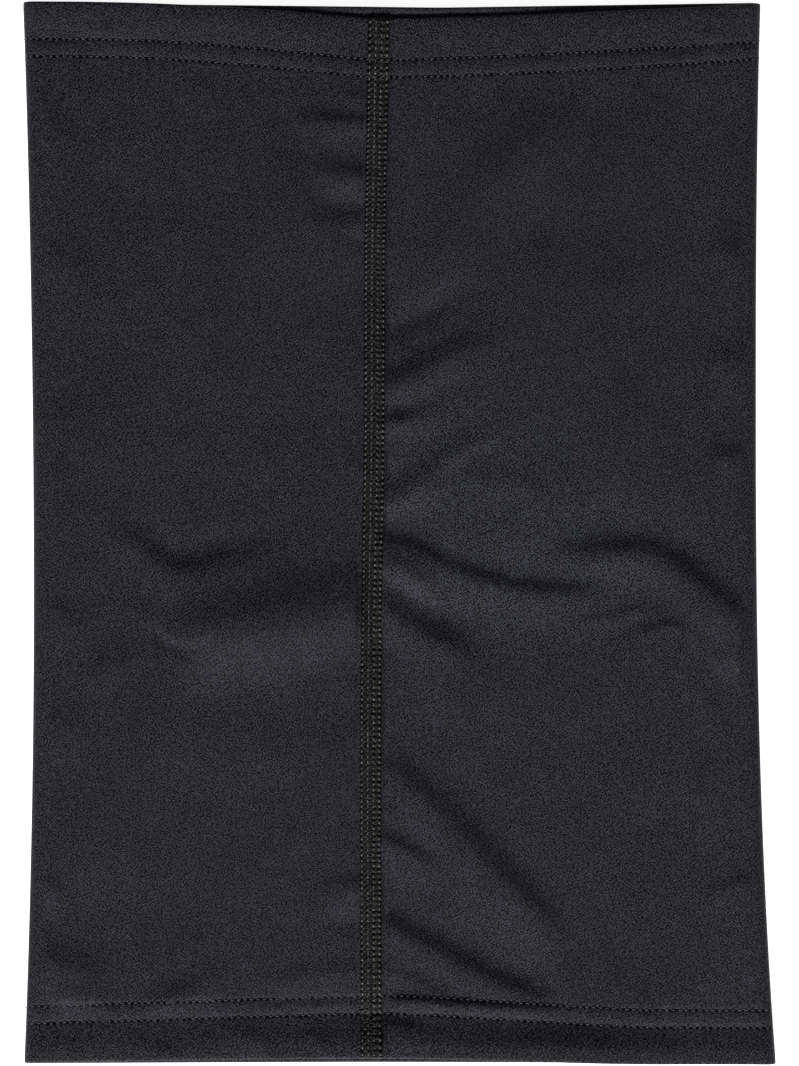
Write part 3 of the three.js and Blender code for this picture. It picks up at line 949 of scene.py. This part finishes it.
def all_pits(nodes, u, v, from_seam, place):
    """1 at the needle holes of both hems and of the seam."""
    uneven = nodes.ramp(nodes.noise(place, 620, 1), 0.3, 0.7, -0.9, 0.9)
    hem_pitch = ROUND / round(ROUND / HEM_STITCH)
    from_middle = nodes.math("ABSOLUTE", v)
    pits = 0.0
    for row in HEM_ROWS:
        from_row = nodes.math("SUBTRACT", from_middle, HALF_LENGTH - row)
        row_pits = stitch_pits(nodes, u, from_row, hem_pitch, uneven)
        pits = nodes.math("MAXIMUM", pits, row_pits)
    for row in SEAM_ROWS[2:]:  # from_seam is the same on both sides
        from_row = nodes.math("SUBTRACT", from_seam, row)
        row_pits = stitch_pits(nodes, v, from_row, SEAM_STITCH, uneven, SEAM_PIT)
        pits = nodes.math("MAXIMUM", pits, row_pits)
    return pits


def jersey_material():
    """Fine knitted jersey: columns of small loops and uneven dye, with painted glints on the loops
    and painted shade in the knit's hollows, in the needle holes and beside the seam.
    """
    nodes = Nodes("black_jersey")
    u, v = nodes.uv("cloth")
    place = nodes.place()
    from_seam = nodes.math("MINIMUM", u, nodes.math("SUBTRACT", ROUND, u))
    in_seam = nodes.ramp(from_seam, *SEAM_GROUND_EDGE, 1.0, 0.0)
    knit = knit_height(nodes, u, v)
    pits = all_pits(nodes, u, v, from_seam, place)
    grain = nodes.noise(nodes.scaled(place, 1, 0.8, 1), 2600, 2, 0.6)
    mottle = nodes.noise(place, 38, 3)
    glint, lean = nodes.loop_glint(u, v)

    colour = nodes.mix(faded_share(nodes, place), JERSEY_COLOUR, PATCH_COLOUR)
    colour = nodes.mix(in_seam, colour, SEAM_COLOUR)
    # painted glints: each loop's colour is lit up or darkened against its neighbours, as if it
    # caught the light its own way
    light = nodes.math("MULTIPLY_ADD", glint, LOOP_CONTRAST, 1.0)
    light = nodes.math("MAXIMUM", light, LOOP_DARKEST)
    shades = [
        nodes.ramp(grain, 0.3, 0.7, 0.9, 1.1),
        # painted shade: darker down between the knit's loops, lighter on their tops
        nodes.ramp(knit, 0, 1, 0.8, 1.1),
        nodes.ramp(mottle, 0.3, 0.7, 0.92, 1.08),
        # painted shade in the needle holes
        nodes.ramp(pits, 0, 1, 1.0, PIT_PAINTED_SHADE),
        # painted shade beside the seam's outer threads
        nodes.ramp(from_seam, *SEAM_SHADE_EDGE, SEAM_PAINTED_SHADE, 1.0),
    ]
    for shade in shades:
        light = nodes.math("MULTIPLY", light, shade)

    height = nodes.math("MULTIPLY_ADD", grain, 0.5, knit)
    height = nodes.math("SUBTRACT", height, nodes.math("MULTIPLY", pits, 2.5))
    nodes.bump(height, 0.12 * MM, 0.4, nodes.leaning(lean, LOOP_LEAN))
    roughness = nodes.ramp(glint, -0.8, 0.8, *JERSEY_ROUGHNESS)
    roughness = nodes.math("SUBTRACT", roughness, nodes.math("MULTIPLY", in_seam, 0.2))
    roughness = nodes.math("MULTIPLY", roughness, nodes.ramp(pits, 0, 1, 1.0, 0.4))
    return nodes.surface(nodes.shade(colour, light), roughness, JERSEY_SPECULAR, JERSEY_TINT)


def thread_material(name, colour, specular):
    """Textured polyester thread: fine fuzz, and stretches that lie lighter or darker."""
    nodes = Nodes(name)
    place = nodes.place()
    fuzz = nodes.noise(place, 3200, 2)
    streak = nodes.ramp(nodes.noise(place, 900, 1), 0.35, 0.65, 0.4, 1.6)
    light = nodes.math("MULTIPLY", nodes.ramp(fuzz, 0.25, 0.75, 0.5, 1.6), streak)
    tone = nodes.mix(fuzz, colour, tuple(0.8 * part for part in colour))
    nodes.bump(fuzz, 0.08 * MM, 0.5)
    return nodes.surface(nodes.shade(tone, light), THREAD_ROUGHNESS, specular)


def floor_material():
    """White, and lit a little from below like a light table, so that shadows stay pale."""
    nodes = Nodes("pale_floor")
    mottle = nodes.noise(nodes.place(), 4, 2)
    colour = nodes.mix(mottle, (0.90, 0.90, 0.90), (0.92, 0.92, 0.92))
    nodes.shader.inputs["Emission Color"].default_value = (1, 1, 1, 1)
    nodes.shader.inputs["Emission Strength"].default_value = TABLE_GLOW
    return nodes.surface(colour, 0.9, 0.1)


# ---------------------------------------------------------------- studio

CAMERA_LENS = 215
SENSOR = 36
VIEW_LENGTH = 344.3 * MM  # of the table along the picture's long side
FLOOR_HALF, FLOOR_DROP = 3000, 0.2  # millimetres, like every mesh
TABLE_GLOW = 0.82
KEY_PLACE, KEY_SIZE, KEY_POWER = (-0.40, -2.95, 1.65), (3.0, 1.05), 276
WORLD_STRENGTH = 0.18


def make_camera():
    data = bpy.data.cameras.new("camera")
    data.lens = CAMERA_LENS
    data.sensor_width = SENSOR
    camera = bpy.data.objects.new("camera", data)
    middle = MIDDLE_HEIGHT * MM / 2
    camera.location = (0, 0, middle + VIEW_LENGTH * CAMERA_LENS / SENSOR)
    bpy.context.scene.collection.objects.link(camera)
    bpy.context.scene.camera = camera


def make_floor():
    corners = [(x * FLOOR_HALF, y * FLOOR_HALF, 0) for x, y in ((-1, -1), (1, -1), (1, 1), (-1, 1))]
    floor = new_object("floor", corners, [(0, 1, 2, 3)], floor_material())
    floor.location.z = -FLOOR_DROP * MM


def soft_box(name, place, aim, size, power):
    """A rectangular lamp at a place, turned towards aim."""
    data = bpy.data.lights.new(name, "AREA")
    data.shape = "RECTANGLE"
    data.size, data.size_y = size
    data.energy = power
    light = bpy.data.objects.new(name, data)
    light.location = place
    direction = Vector(aim) - Vector(place)
    light.rotation_euler = direction.to_track_quat("-Z", "Y").to_euler()
    bpy.context.scene.collection.objects.link(light)


def make_light():
    """A long low soft box beyond the bottom hem, and a weak even light from everywhere."""
    soft_box("key", KEY_PLACE, (0, 0, 0), KEY_SIZE, KEY_POWER)
    world = bpy.data.worlds.new("studio")
    world.use_nodes = True
    background = world.node_tree.nodes["Background"]
    background.inputs["Color"].default_value = (1, 1, 1, 1)
    background.inputs["Strength"].default_value = WORLD_STRENGTH
    bpy.context.scene.world = world
    bpy.context.scene.view_settings.view_transform = "Standard"


# ---------------------------------------------------------------- the object


def stand_for(thing, node):
    """Puts a piece in the place of a CAD node."""
    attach(thing, "root")
    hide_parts(node)


def make_threads():
    """Every sewing thread, by the name of the CAD node that it replaces."""
    seam_thread = thread_material("seam_thread", SEAM_THREAD_COLOUR, SEAM_THREAD_SPECULAR)
    cover_thread = thread_material("cover_thread", COVER_THREAD_COLOUR, COVER_THREAD_SPECULAR)
    hem_thread = thread_material("hem_thread", HEM_THREAD_COLOUR, HEM_THREAD_SPECULAR)
    threads = {}
    for row in range(len(SEAM_ROWS)):
        node = f"flatlock_needle_thread_{row + 1}"
        threads[node] = flatlock_needle_thread(f"seam_stitches_{row + 1}", row, seam_thread)
    threads["flatlock_cover_thread"] = flatlock_cover_thread("seam_cover", cover_thread)
    threads["flatlock_looper_thread"] = flatlock_looper_thread("seam_looper", cover_thread)
    for hem, side in (("top_hem", 1), ("bottom_hem", -1)):
        for row in range(len(HEM_ROWS)):
            node = f"{hem}_needle_thread_{row + 1}"
            threads[node] = hem_needle_thread(f"{hem}_stitches_{row + 1}", side, row, hem_thread)
        threads[f"{hem}_looper_thread"] = hem_looper_thread(f"{hem}_looper", side, cover_thread)
    return threads


def make_gaiter():
    threads = make_threads()
    for node, thread in threads.items():
        stand_for(thread, node)

    cloth = make_cloth(jersey_material())
    stand_for(cloth, "fabric_panel")


make_camera()
make_floor()
make_light()
make_gaiter()
